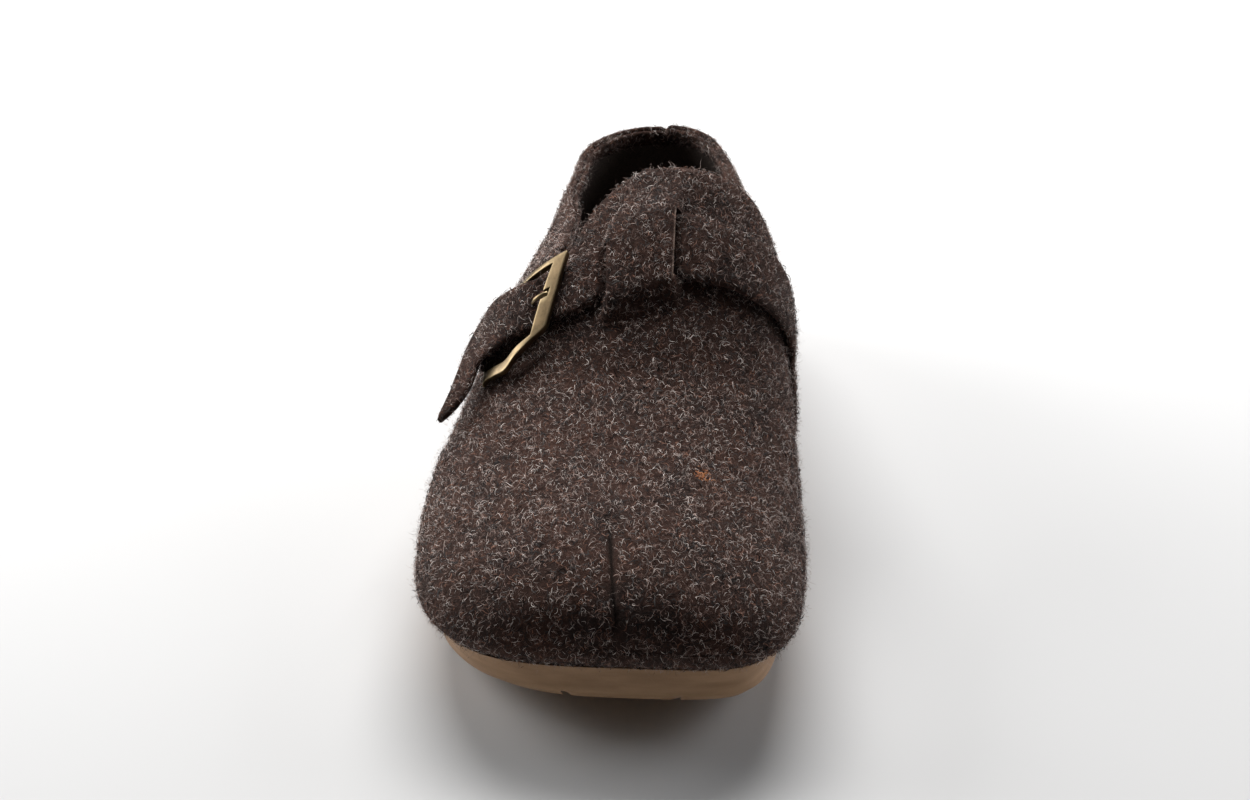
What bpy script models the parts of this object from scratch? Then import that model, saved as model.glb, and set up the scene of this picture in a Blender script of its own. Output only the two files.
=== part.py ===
"""Felt clog shoe for the right foot: outsole, footbed, hollow felt upper, instep strap and buckle.

The toe points to -Y, the outer side of the foot is -X, the sole stands on z = 0.
Sizes are in millimetres, meshes are made in metres.
"""
import bpy
import numpy as np

for old in list(bpy.data.objects):
    bpy.data.objects.remove(old, do_unlink=True)

MM = 0.001
GAP = 0.3

# The last: length, half widths of each side, and the square-ness of the toe on each side.
LENGTH = 274.0
HEEL_AT, WAIST_AT, BALL_AT = 0.16, 0.40, 0.66
OUTER = {"heel": 36.2, "waist": 49.4, "ball": 63.6, "toe": 3.4}
INNER = {"heel": 36.8, "waist": 46.6, "ball": 51.6, "toe": 4.7}
HEEL_ROUND = 2.1
FOOT_Z, BULGE_Z, TUCK = 14.6, 21.7, 6.5
SECTION_RISE, SECTION_WIDTH = 2.13, 2.21
RIDGE_INWARD = 10.7
HEEL_LEAN = 7.6
COLLAR_INWARD = (0.20, 0.11)
TOE_SPRING, SPRING_FROM = 10.8, 55.0
DOME_FROM, DOME_ROUND = 0.83, 2.4
WALL = 2.8

# Height of the ridge line over the foot: station from the heel as a share of the length, height.
RIDGE = ((0.00, 108.0), (0.30, 108.4), (0.40, 107.5), (0.50, 93.4), (0.66, 62.8), (0.84, 51.2), (1.00, 45.2))

# Top edge of the upper: column round the shoe (0 heel, 1 ridge, 2 heel again), height.
TOPLINE = ((0.00, 77.2), (0.20, 76.8), (0.40, 75.5), (0.55, 76.0), (0.68, 79.0), (0.76, 82.0), (0.803, 84.0),
           (0.812, 91.5), (0.830, 97.2), (0.860, 101.5), (0.920, 105.2), (1.000, 106.3), (1.060, 105.6),
           (1.116, 103.4), (1.180, 99.2), (1.238, 94.0), (1.290, 86.6), (1.310, 80.5), (1.400, 77.5),
           (1.600, 75.5), (1.800, 77.0), (1.920, 78.8), (1.970, 78.4), (2.00, 77.2))

# Instep strap, from its sewn inner end to its free tip: run along it, then column and height of the
# front edge, column and height of the rear edge, and the height of its underside over the felt.
OVER, UNDER = 0.6, -2.0
STRAP = ((0.0, 1.485, 26.0, 1.590, 26.0, OVER),
         (8.5, 1.478, 34.0, 1.580, 35.0, OVER),
         (17.0, 1.452, 42.0, 1.548, 43.5, OVER),
         (25.0, 1.402, 49.0, 1.478, 52.5, OVER),
         (33.0, 1.330, 55.2, 1.380, 61.5, 1.0),
         (41.0, 1.257, 61.4, 1.312, 70.0, 1.8),
         (50.0, 1.196, 68.8, 1.254, 77.6, 2.2),
         (60.0, 1.149, 74.6, 1.190, 86.0, 1.8),
         (70.0, 1.098, 79.6, 1.086, 93.4, 1.0),
         (80.0, 1.045, 82.2, 1.040, 95.6, OVER),
         (86.4, 1.016, 83.0, 1.016, 96.4, OVER),
         (90.0, 0.998, 83.8, 0.998, 96.6, UNDER),
         (100.0, 0.952, 81.8, 0.952, 93.0, UNDER),
         (110.0, 0.903, 78.4, 0.903, 88.4, UNDER),
         (113.6, 0.886, 77.0, 0.886, 87.2, OVER),
         (119.0, 0.862, 73.6, 0.860, 84.8, OVER),
         (129.0, 0.819, 68.6, 0.818, 80.0, OVER),
         (132.0, 0.807, 66.7, 0.804, 78.0, 1.0),
         (136.0, 0.790, 64.2, 0.785, 75.3, 3.2),
         (143.0, 0.762, 60.0, 0.752, 70.6, 5.0),
         (150.0, 0.726, 56.4, 0.717, 66.0, 5.3),
         (157.2, 0.692, 52.8, 0.684, 61.4, 4.9),
         (168.0, 0.658, 44.8, 0.648, 54.2, 5.9),
         (179.0, 0.641, 38.6, 0.627, 47.8, 7.2))
STRAP_THICK = 2.6
SLITS = ((0.886, 0.903), (0.998, 1.016))
STRIP_RISE = 4.0
SLIT_LEAN = -0.0018

# Buckle, in runs along the strap and shares of its half width.
BAR_START, BAR_NOTCH, BAR_END = 126.2, 128.6, 130.8
HINGE_START, HINGE_END = 156.2, 158.2
FRAME_IN, FRAME_OUT = 1.10, 1.34
ARM_BOW = 0.38
FRAME_THICK, HINGE_THICK = 2.0, 1.6
NOTCH_HALF = 0.16
PRONG_HALF = 0.12
SLOT_START, SLOT_END, SLOT_HALF = 132.2, 139.0, 0.19
TAB_HALF, TAB_SLOT, TAB_END = 0.66, 0.18, 171.0

# Outsole: thickness under the felt, tread depth, and how far each level stands in from the felt.
SOLE_TOP = FOOT_Z - GAP
TREAD = 3.2
EDGE_IN = (8.6, 6.0, 5.3)
ARCH_RISE, ARCH_FROM, ARCH_TO = 4.0, -8.0, 52.0
TOE_THIN = 2.6
CORNER_IN = (5.5, 1.5)
# Footbed: height of each level of its edge, and how far it stands in from the felt there.
FOOTBED = ((FOOT_Z, 9.1), (17.4, 8.8), (20.3, 5.2), (23.0, 3.9))


def through(at, table):
    """Smooth curve through the rows of a table, with no overshoot between them."""
    x, v = np.array(table, float).T
    h = np.diff(x)
    d = np.diff(v) / h
    m = np.concatenate([d[:1], np.zeros(len(d) - 1), d[-1:]])
    for i in range(1, len(d)):
        if d[i - 1] * d[i] > 0:
            a, b = 2 * h[i] + h[i - 1], h[i] + 2 * h[i - 1]
            m[i] = (a + b) / (a / d[i - 1] + b / d[i])
    at = np.clip(at, x[0], x[-1])
    i = np.clip(np.searchsorted(x, at, side="right") - 1, 0, len(h) - 1)
    t = (at - x[i]) / h[i]
    return ((1 + 2 * t) * (1 - t) ** 2 * v[i] + t * (1 - t) ** 2 * h[i] * m[i]
            + t * t * (3 - 2 * t) * v[i + 1] + t * t * (t - 1) * h[i] * m[i + 1])


def ease(t):
    t = np.clip(t, 0, 1)
    return t * t * (3 - 2 * t)


def rounded(t, n):
    return np.clip(1 - np.clip(t, 0, 1) ** n, 0, 1) ** (1 / n)


def half_width(s, side):
    """Half width of the felt at its widest level, at a station from the heel."""
    def one(sizes):
        base = through(s, ((HEEL_AT, sizes["heel"]), (WAIST_AT, sizes["waist"]), (BALL_AT, sizes["ball"])))
        ends = rounded((HEEL_AT - s) / HEEL_AT, HEEL_ROUND) * rounded((s - BALL_AT) / (1 - BALL_AT), sizes["toe"])
        return base * ends
    return np.where(side < 0, one(OUTER), one(INNER))


def ridge(s):
    ramp = through(s, RIDGE)
    return BULGE_Z + (ramp - BULGE_Z) * rounded((s - DOME_FROM) / (1 - DOME_FROM), DOME_ROUND)


FRONT_S = np.linspace(1, 0.34, 900)
FRONT_Z = np.maximum.accumulate(ridge(FRONT_S) + 1e-6 * np.arange(900))


def toe_spring(y):
    return TOE_SPRING * np.clip((-y - SPRING_FROM) / (LENGTH / 2 - SPRING_FROM), 0, 1) ** 2


def last_point(k, z):
    """Point of the outer felt at a column round the shoe and a height before toe spring."""
    k, z = np.broadcast_arrays(np.asarray(k, float), np.asarray(z, float))
    shape = k.shape
    k, z = k.ravel() % 2, z.ravel()
    slant = ease((k - 0.80) / 0.085) * ease((0.995 - k) / 0.06) * np.clip(z - 78, -2, 10)
    slant = slant * ease((100 - z) / 8)
    k = k + SLIT_LEAN * slant
    side = np.where(k <= 1, -1.0, 1.0)[:, None]
    share = np.where(k <= 1, k, 2 - k)
    u = 1 - (1 - np.linspace(0, 1, 161)) ** 2
    level = np.maximum(z, BULGE_Z)[:, None]
    s = np.interp(level, FRONT_Z, FRONT_S) * (1 - np.cos(np.pi * u)) / 2
    rise = np.clip((level - BULGE_Z) / (ridge(s) - BULGE_Z + 1e-9), 0, 1)
    x = side * half_width(s, side) * np.clip(1 - rise ** SECTION_RISE, 0, 1) ** (1 / SECTION_WIDTH)
    outer = COLLAR_INWARD[0] * ease((s - 0.22) / 0.12) * ease((0.48 - s) / 0.08)
    inner = COLLAR_INWARD[1] * ease((s - 0.02) / 0.10) * ease((0.38 - s) / 0.14)
    x = x * (1 - np.where(side < 0, outer, inner) * ease((level - 58) / 22))
    y = LENGTH * (0.5 - s)
    tx, ty = np.gradient(x, axis=1), np.gradient(y, axis=1)
    n = np.hypot(tx, ty) + 1e-12
    ox, oy = -side * ty / n, side * tx / n
    ox[:, 0], oy[:, 0], ox[:, -1], oy[:, -1] = 0, 1, 0, -1
    inset = TUCK * np.clip((BULGE_Z - z) / (BULGE_Z - FOOT_Z), 0, 2)[:, None] ** 2
    x, y = x - inset * ox, y - inset * oy
    run = np.cumsum(np.hypot(np.diff(x), np.diff(y)), axis=1)
    run = np.concatenate([np.zeros((len(z), 1)), run], axis=1)
    run /= run[:, -1:]
    i = np.clip((run < share[:, None]).sum(axis=1) - 1, 0, u.size - 2)
    row = np.arange(len(z))
    t = (share - run[row, i]) / (run[row, i + 1] - run[row, i] + 1e-12)
    x, y, s, rise = (a[row, i] * (1 - t) + a[row, i + 1] * t for a in (x, y, s, rise))
    x = x + RIDGE_INWARD * rise ** 2 * ease((0.98 - s) / 0.45) * ease((s - 0.02) / 0.3)
    y = y - HEEL_LEAN * np.clip((z - BULGE_Z) / 55, 0, 1.4) ** 1.6 * (1 - ease(s / 0.25))
    return np.stack([x, y, z + toe_spring(y)], -1).reshape(shape + (3,))


def felt(k, z, off=0.0):
    """Point of the felt pushed along its own normal by off."""
    k, z, off = np.broadcast_arrays(np.asarray(k, float), np.asarray(z, float), np.asarray(off, float))
    dk, dz = 0.004, 0.6
    n = np.cross(last_point(k + dk, z) - last_point(k - dk, z), last_point(k, z + dz) - last_point(k, z - dz))
    n /= np.linalg.norm(n, axis=-1, keepdims=True) + 1e-12
    return last_point(k, z) + off[..., None] * n


def strap_space(run, across, off):
    """Point over the felt at a run along the strap, a share of its half width and a height."""
    table = np.array(STRAP)
    run, across, off = np.broadcast_arrays(*(np.asarray(a, float) for a in (run, across, off)))
    kf, zf, kr, zr = (through(run, table[:, (0, c)]) for c in (1, 2, 3, 4))
    t = (across + 1) / 2
    return felt(kf + (kr - kf) * t, zf + (zr - zf) * t, off)


def strap_under(run):
    return through(run, np.array(STRAP)[:, (0, 5)])


def solid(name, points, present, colour, rough, metal=0.0, ring=False):
    """One closed body from a block of corner points: a face wherever a filled cell meets an empty one."""
    na, nb, nc = present.shape
    index, verts, faces = {}, [], []

    def corner(a, b, c):
        key = (a % na if ring else a, b, c)
        if key not in index:
            index[key] = len(verts)
            verts.append(tuple(float(v) * MM for v in points[key]))
        return index[key]

    def filled(a, b, c):
        if ring:
            a = a % na
        inside = 0 <= a < na and 0 <= b < nb and 0 <= c < nc
        return inside and bool(present[a, b, c])

    for a, b, c in np.argwhere(present):
        a, b, c = int(a), int(b), int(c)
        if not filled(a - 1, b, c):
            faces.append([corner(a, b, c), corner(a, b, c + 1), corner(a, b + 1, c + 1), corner(a, b + 1, c)])
        if not filled(a + 1, b, c):
            faces.append([corner(a + 1, b, c), corner(a + 1, b + 1, c), corner(a + 1, b + 1, c + 1),
                          corner(a + 1, b, c + 1)])
        if not filled(a, b - 1, c):
            faces.append([corner(a, b, c), corner(a + 1, b, c), corner(a + 1, b, c + 1), corner(a, b, c + 1)])
        if not filled(a, b + 1, c):
            faces.append([corner(a, b + 1, c), corner(a, b + 1, c + 1), corner(a + 1, b + 1, c + 1),
                          corner(a + 1, b + 1, c)])
        if not filled(a, b, c - 1):
            faces.append([corner(a, b, c), corner(a, b + 1, c), corner(a + 1, b + 1, c), corner(a + 1, b, c)])
        if not filled(a, b, c + 1):
            faces.append([corner(a, b, c + 1), corner(a + 1, b, c + 1), corner(a + 1, b + 1, c + 1),
                          corner(a, b + 1, c + 1)])
    mesh = bpy.data.meshes.new(name)
    mesh.from_pydata(verts, [], faces)
    mesh.update()
    volume = sum(np.dot(verts[f[0]], np.cross(verts[f[i]], verts[f[i + 1]])) for f in faces for i in (1, 2))
    if volume < 0:
        mesh.flip_normals()
    body = bpy.data.objects.new(name, mesh)
    bpy.context.scene.collection.objects.link(body)
    skin = bpy.data.materials.new(name)
    skin.use_nodes = True
    shader = skin.node_tree.nodes["Principled BSDF"]
    shader.inputs["Base Color"].default_value = colour + (1.0,)
    shader.inputs["Roughness"].default_value = rough
    shader.inputs["Metallic"].default_value = metal
    mesh.materials.append(skin)
    return body


def plan_grid(stations, across, level):
    """Outline at one level as rungs across the shoe. The end rungs follow the round heel and toe."""
    grid = np.zeros((len(stations), len(across), 3))
    for i, c in enumerate(stations):
        rim = level(np.array([c, 2 - c]))
        t = (np.array(across) + 1) / 2
        grid[i] = rim[0] + (rim[1] - rim[0]) * t[:, None]
        if i == 0:
            grid[i] = level(-np.array(across) * c)
        if i == len(stations) - 1:
            grid[i] = level(1 + np.array(across) * (1 - c))
    return grid


# Outsole: one moulded slab, thinner and sprung at the toe, hollowed at the arch, with cross lugs.
def plan_level(inset, corner=0.0):
    def level(k):
        cut = CORNER_IN[0] * np.exp(-((k - 0.855) / 0.07) ** 2) + CORNER_IN[1] * np.exp(-((k - 1.145) / 0.07) ** 2)
        return last_point(k, BULGE_Z - (BULGE_Z - FOOT_Z) * ((inset + corner * cut) / TUCK) ** 0.5)
    return level


GROOVES = (0.18, 0.25, 0.32, 0.535, 0.595, 0.655, 0.715, 0.775)
GROOVE = 0.011
TOE_GROOVE = 0.865
stations = [0.05, 0.09, 0.13]
for g in GROOVES:
    stations += [g, g + GROOVE]
stations += [0.38, 0.43, 0.48, 0.805, 0.825, 0.845, TOE_GROOVE, 0.885, 0.905, 0.93]
stations = sorted(stations)
across = (-1.0, -0.78, -0.66, -0.33, 0.0, 0.33, 0.66, 0.78, 1.0)
sole = np.zeros((len(stations), len(across), 4, 3))
for c, (inset, corner) in enumerate(((EDGE_IN[0], 1.0), (EDGE_IN[1], 0.7), (EDGE_IN[1], 0.4), (EDGE_IN[2], 0.0))):
    sole[:, :, c] = plan_grid(stations, across, plan_level(inset, corner))
y = sole[..., 1]
arch = ARCH_RISE * ease((y - ARCH_FROM) / 20) * ease((ARCH_TO - y) / 20)
lift = np.clip((-y - SPRING_FROM) / (LENGTH / 2 - SPRING_FROM), 0, 1) ** 2
for c, z in enumerate((0.0, TREAD, 2 * TREAD, SOLE_TOP)):
    share = 1 - c / 3
    sole[:, :, c, 2] = z + lift[:, :, c] * (TOE_SPRING + TOE_THIN * share) + arch[:, :, c] * share
blocks = np.ones((len(stations) - 1, len(across) - 1, 3), bool)
for i, c in enumerate(stations[:-1]):
    if any(abs(c - g) < 1e-9 for g in GROOVES):
        blocks[i, :, 0] = False
    if c >= TOE_GROOVE:
        blocks[i, 1, 0] = False
        blocks[i, 6, 0] = False
solid("outsole", sole, blocks, (0.26, 0.17, 0.09), 0.6)

# Footbed: a dished insole on the outsole, standing inside the felt with a small gap.
stations = [0.05, 0.10, 0.16, 0.22, 0.28, 0.34, 0.40, 0.46, 0.52, 0.58, 0.64, 0.70, 0.76, 0.82, 0.87, 0.91, 0.94]
across = (-1.0, -0.7, -0.35, 0.0, 0.35, 0.7, 1.0)
bed = np.zeros((len(stations), len(across), len(FOOTBED), 3))
for c, (z, inset) in enumerate(FOOTBED):
    bed[:, :, c] = plan_grid(stations, across, plan_level(inset))
    bed[:, :, c, 2] = z + toe_spring(bed[:, :, c, 1])
inner = np.zeros(bed.shape[:2], bool)
inner[1:-1, 1:-1] = True
y = bed[:, :, -1, 1]
dish = 4.0 * ease((y - 20) / 50) + 2.0 - 3.0 * np.exp(-((y - 22) / 34) ** 2) * np.array(across)[None, :].clip(0)
bed[:, :, -1, 2] -= np.where(inner, dish * (1 - np.array(across)[None, :] ** 2) ** 0.5, 0)
solid("footbed", bed, np.ones((len(stations) - 1, len(across) - 1, len(FOOTBED) - 1), bool),
      (0.05, 0.035, 0.03), 0.9)

# Upper: one hollow felt wall from the sole edge to the collar, with two slits for the strap.
columns = [0.0, 0.04, 0.08, 0.12, 0.16, 0.205, 0.25, 0.295, 0.34, 0.385, 0.43, 0.475, 0.52, 0.56, 0.60, 0.64,
           0.675, 0.705, 0.735, 0.76, 0.783, 0.803, 0.816, 0.834, 0.852, 0.870, 0.886, 0.903, 0.92, 0.94, 0.96,
           0.98, 0.998, 1.016, 1.035, 1.055, 1.075, 1.10, 1.125, 1.15, 1.18, 1.21, 1.24, 1.27, 1.29, 1.31, 1.335,
           1.37, 1.405, 1.44, 1.48, 1.525, 1.57, 1.615, 1.66, 1.705, 1.75, 1.795, 1.84, 1.88, 1.92, 1.96]
columns = np.array(columns)
strap = np.array(STRAP)
top = through(columns, TOPLINE)
order = np.argsort(strap[5:13, 1])
front = through(np.clip(columns, 0.83, 1.10), strap[9:17][order][:, (1, 2)])
rear = through(np.clip(columns, 0.83, 1.10), strap[9:17][order][:, (1, 4)])
near = ease((columns - 0.70) / 0.12) * ease((1.22 - columns) / 0.10)
low = (1 - near) * (FOOT_Z + 0.76 * (top - FOOT_Z)) + near * (front - 1.0)
high = (1 - near) * (FOOT_Z + 0.88 * (top - FOOT_Z)) + near * np.minimum(rear + 0.8, top - 3.5)
TOE_ROWS = (FOOT_Z, 16.2, 18.5, BULGE_Z, 25.5, 30.0, 35.0, 39.5, 43.0, 46.0, 48.5, 50.5)
BELOW = (0.07, 0.16, 0.27, 0.41, 0.58, 0.78, 1.0)
WITHIN = (0.25, 0.5, 0.75, 1.0)
ABOVE = (0.35, 0.7, 1.0)
rows = [np.full(len(columns), z) for z in TOE_ROWS]
rows += [TOE_ROWS[-1] + (low - TOE_ROWS[-1]) * t for t in BELOW]
rows += [low + (high - low) * t for t in WITHIN]
rows += [high + (top - high) * t for t in ABOVE]
levels = np.stack(rows, 1)
in_strip = (columns >= SLITS[0][1]) & (columns <= SLITS[1][0])
reach = np.maximum(low[:, None] - levels, levels - high[:, None])
room = np.where(levels > high[:, None], (top - high)[:, None] * 0.9, 4.0)
raised = STRIP_RISE * in_strip[:, None] * ease(1 - np.clip(reach, 0, None) / room)
shell = np.stack([felt(columns[:, None], levels, raised - WALL), felt(columns[:, None], levels, raised)], 2)
wall = np.ones((len(columns), levels.shape[1] - 1, 1), bool)
for a, _ in SLITS:
    i = int(np.argmin(abs(columns - a)))
    first = len(TOE_ROWS) + len(BELOW) - 1
    wall[i, first:first + len(WITHIN)] = False
solid("upper", shell, wall, (0.045, 0.033, 0.028), 0.95, ring=True)

# Strap: felt, sewn low on the inner side, under the strip of the upper, through the buckle to a free tip.
runs = [0, 8.5, 17, 25, 33, 41, 50, 60, 66, 72, 77, 82, 86.4, 88.2, 90, 95, 100, 105, 110, 111.8, 113.6, 117, 121,
        125, 129, SLOT_START, 135.4, SLOT_END, 143, 147.5, 152, 155, 158, 162, 165, 168, 171, 173, 174.5, 175.3]
runs = np.array(runs)
across = np.array((-1.0, -0.6, -SLOT_HALF, SLOT_HALF, 0.6, 1.0))
taper = 1 - 0.06 * ease((runs - 150) / 20)
taper = taper * (0.62 + 0.38 * np.clip(1 - np.clip((runs - 168.3) / 7.01, 0, 1) ** 2.2, 0, 1) ** 0.5)
under = strap_under(runs)
band = np.stack([strap_space(runs[:, None], across * taper[:, None], under[:, None]),
                 strap_space(runs[:, None], across * taper[:, None], under[:, None] + STRAP_THICK)], 2)
cloth = np.ones((len(runs) - 1, len(across) - 1, 1), bool)
for i, r in enumerate(runs[:-1]):
    if SLOT_START <= r < SLOT_END:
        cloth[i, 2] = False
solid("strap", band, cloth, (0.045, 0.033, 0.028), 0.95)

# Buckle frame: cast brass, a wide notched bar over the strap, two arms and a hinge bar under it.
bar_low = OVER + STRAP_THICK + 2 * GAP
hinge_low = 1.5
runs = np.array((BAR_START, BAR_NOTCH, BAR_END, 136.5, 141.5, 146.5, 151.5, HINGE_START, HINGE_END))
across = np.array((-FRAME_OUT, -FRAME_IN, -0.6, -NOTCH_HALF, NOTCH_HALF, 0.6, FRAME_IN, FRAME_OUT))
base = bar_low + (hinge_low - bar_low) * ease((runs - BAR_END) / (HINGE_START - BAR_END))
thick = FRAME_THICK + (HINGE_THICK - FRAME_THICK) * ease((runs - BAR_END) / (HINGE_START - BAR_END))
bow = ARM_BOW * np.sin(np.pi * np.clip((runs - BAR_START) / (HINGE_END - BAR_START), 0, 1) ** 0.7)
grid = np.tile(across, (len(runs), 1))
grid[:, :2] -= bow[:, None]
grid[:, -2:] += 0.3 * bow[:, None]
frame = np.stack([strap_space(runs[:, None], grid, (base + thick * t)[:, None]) for t in (0, 0.5, 1)], 2)
metal = np.ones((len(runs) - 1, len(across) - 1, 2), bool)
metal[2:-1, 1:-1] = False
metal[1, 3, 1] = False
solid("buckle_frame", frame, metal, (0.42, 0.30, 0.13), 0.35, 1.0)

# Prong: brass, its eye round the hinge bar, up through the slot of the strap to the notch of the frame.
eye = np.array((0.45, 1.15, 3.45, 4.05))
PRONG_THICK = 1.4
PRONG = ((129.0, bar_low + 0.5 * FRAME_THICK + GAP), (131.9, bar_low + 0.5 * FRAME_THICK + GAP), (134.0, 4.4),
         (137.0, 0.8), (140.0, 0.5), (146.4, 0.6), (150.0, 1.1))
runs = np.array([r for r, _ in PRONG] + [154.9, 155.85, 158.55, 159.5])
across = np.array((-PRONG_HALF, PRONG_HALF))
heights = np.tile(eye, (len(runs), 1))
for i, (r, z) in enumerate(PRONG):
    heights[i] = (z - 0.5, z, z + PRONG_THICK, z + PRONG_THICK + 0.5)
pin = np.zeros((len(runs), 2, 4, 3))
for i, r in enumerate(runs):
    for c in range(4):
        pin[i, :, c] = strap_space(r, across, heights[i, c])
steel = np.zeros((len(runs) - 1, 1, 3), bool)
steel[:len(PRONG), 0, 1] = True
steel[len(PRONG):, 0, :] = True
steel[len(PRONG) + 1, 0, 1] = False
solid("buckle_prong", pin, steel, (0.42, 0.30, 0.13), 0.35, 1.0)

# Tab: a felt loop round the hinge bar on both sides of the prong, sewn flat to the upper.
runs = np.array((154.9, 155.85, 158.55, 159.5, 161.0, 166.0, TAB_END))
across = np.array((-TAB_HALF, -TAB_SLOT, TAB_SLOT, TAB_HALF))
heights = np.array((0.35, 1.15, 3.45, 4.05))
loop = np.stack([strap_space(runs[:, None], across, h) for h in heights], 2)
fold = np.zeros((len(runs) - 1, 3, 3), bool)
fold[0:3, (0, 2), :] = True
fold[1, (0, 2), 1] = False
fold[3, (0, 2), 0] = True
fold[4:, :, 0] = True
solid("buckle_tab", loop, fold, (0.045, 0.033, 0.028), 0.95)

# The origin is the middle of the whole part's box, on the ground.
corners = np.array([tuple(v.co) for o in bpy.data.objects for v in o.data.vertices])
shift = (corners.min(0) + corners.max(0)) / 2
for o in bpy.data.objects:
    for v in o.data.vertices:
        v.co.x -= shift[0]
        v.co.y -= shift[1]
        v.co.z -= corners[:, 2].min()
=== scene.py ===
"""Looks of a felt clog shoe for the right foot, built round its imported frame.

The toe points to -Y, the outer side of the foot is -X and the sole stands on z = 0.
Sizes are in millimetres and become metres where a mesh is made.
"""
import bpy
import numpy as np
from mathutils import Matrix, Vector, noise


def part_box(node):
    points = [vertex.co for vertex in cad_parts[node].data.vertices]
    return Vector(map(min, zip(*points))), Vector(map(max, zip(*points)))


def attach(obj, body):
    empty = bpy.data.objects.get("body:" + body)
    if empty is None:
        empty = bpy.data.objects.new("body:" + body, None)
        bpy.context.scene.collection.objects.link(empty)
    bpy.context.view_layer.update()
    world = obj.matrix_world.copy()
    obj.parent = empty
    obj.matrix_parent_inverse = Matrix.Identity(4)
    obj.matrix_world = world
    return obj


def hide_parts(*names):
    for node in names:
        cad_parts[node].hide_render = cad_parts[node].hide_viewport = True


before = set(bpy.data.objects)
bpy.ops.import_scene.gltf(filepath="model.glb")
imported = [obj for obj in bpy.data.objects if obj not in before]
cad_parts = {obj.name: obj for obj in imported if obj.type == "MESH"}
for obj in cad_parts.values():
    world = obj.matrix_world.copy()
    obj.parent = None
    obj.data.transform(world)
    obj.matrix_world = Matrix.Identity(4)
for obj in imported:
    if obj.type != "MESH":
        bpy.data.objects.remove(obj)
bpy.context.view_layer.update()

# Studio: a pale matt sheet as floor, white panels at both sides and above, and a camera in front of
# the toe that looks down on the shoe. The brightest panel is above and behind, so the toe is in shade.
MM = 0.001
CAMERA_AT = (28.4, -530.7, 339.6)
CAMERA_AIM = (1.0, -18.0, 42.0)
FOCAL_LENGTH = 53.5


def linear(code):
    """sRGB hex colour as linear red, green, blue and alpha."""
    parts = [int(code[i:i + 2], 16) / 255 for i in (1, 3, 5)]
    return tuple(c / 12.92 if c <= 0.04045 else ((c + 0.055) / 1.055) ** 2.4 for c in parts) + (1.0,)


def add(tree, kind, wires=None, **settings):
    """One node with its settings. Each socket in wires gets a value or the output that feeds it."""
    made = tree.nodes.new(kind)
    for name, value in settings.items():
        setattr(made, name, value)
    for socket, value in (wires or {}).items():
        if isinstance(value, bpy.types.NodeSocket):
            tree.links.new(value, made.inputs[socket])
        else:
            made.inputs[socket].default_value = value
    return made


def new_material(name):
    """Empty material with a shader wired to its output."""
    skin = bpy.data.materials.new(name)
    skin.use_nodes = True
    tree = skin.node_tree
    tree.nodes.clear()
    shader = add(tree, "ShaderNodeBsdfPrincipled")
    add(tree, "ShaderNodeOutputMaterial", {"Surface": shader.outputs["BSDF"]})
    return skin, tree, shader


def new_piece(name, points, faces, skin, smooth=True):
    """Mesh object from points in millimetres."""
    mesh = bpy.data.meshes.new(name)
    mesh.from_pydata((np.asarray(points, float) * MM).tolist(), [], faces)
    mesh.update()
    mesh.polygons.foreach_set("use_smooth", [smooth] * len(mesh.polygons))
    mesh.materials.append(skin)
    piece = bpy.data.objects.new(name, mesh)
    bpy.context.scene.collection.objects.link(piece)
    return piece


lens = bpy.data.cameras.new("camera")
lens.lens = FOCAL_LENGTH
lens.sensor_width = 36.0
camera = bpy.data.objects.new("camera", lens)
bpy.context.scene.collection.objects.link(camera)
camera.location = Vector(CAMERA_AT) * MM
camera.rotation_euler = (Vector(CAMERA_AIM) - Vector(CAMERA_AT)).to_track_quat("-Z", "Y").to_euler()
bpy.context.scene.camera = camera

# Matt white paper: a very slight cloudiness keeps it from looking like a screen.
paper, tree, shader = new_material("matt_white_paper")
place = add(tree, "ShaderNodeTexCoord")
cloud = add(tree, "ShaderNodeTexNoise", {"Vector": place.outputs["Object"], "Scale": 3.0, "Detail": 3.0})
tone = add(tree, "ShaderNodeValToRGB", {"Fac": cloud.outputs["Fac"]})
tone.color_ramp.elements[0].color = linear("#d2d2d2")
tone.color_ramp.elements[1].color = linear("#dadada")
tree.links.new(tone.outputs["Color"], shader.inputs["Base Color"])
shader.inputs["Roughness"].default_value = 0.9
shader.inputs["Specular IOR Level"].default_value = 0.15
FLOOR_HALF, FLOOR_DROP = 3000.0, 0.2
sheet = [(-FLOOR_HALF, -FLOOR_HALF, 0), (FLOOR_HALF, -FLOOR_HALF, 0), (FLOOR_HALF, FLOOR_HALF, 0),
         (-FLOOR_HALF, FLOOR_HALF, 0)]
floor = new_piece("floor", sheet, [(0, 1, 2, 3)], paper)
floor.location.z = -FLOOR_DROP * MM

# Panels: name, place, size across and along, watts, colour. Each one faces the shoe.
PANELS = (("overhead", (-60, 560, 840), 900, 500, 15.5, "#fffefd"),
          ("left_side", (-900, 320, 420), 700, 600, 9.0, "#ffffff"),
          ("right_side", (900, 320, 420), 700, 600, 4.4, "#fbfcff"))
PANEL_AIM = (0, 0, 40)
SURROUND_STRENGTH = 0.03
for name, at, across, along, watts, colour in PANELS:
    panel = bpy.data.lights.new(name, "AREA")
    panel.shape = "RECTANGLE"
    panel.size = across * MM
    panel.size_y = along * MM
    panel.energy = watts
    panel.color = linear(colour)[:3]
    lamp = bpy.data.objects.new(name, panel)
    bpy.context.scene.collection.objects.link(lamp)
    lamp.location = Vector(at) * MM
    lamp.rotation_euler = (Vector(PANEL_AIM) - Vector(at)).to_track_quat("-Z", "Y").to_euler()
surround = bpy.data.worlds.new("white_surround")
surround.use_nodes = True
surround.node_tree.nodes["Background"].inputs["Color"].default_value = linear("#ffffff")
surround.node_tree.nodes["Background"].inputs["Strength"].default_value = SURROUND_STRENGTH
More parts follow.
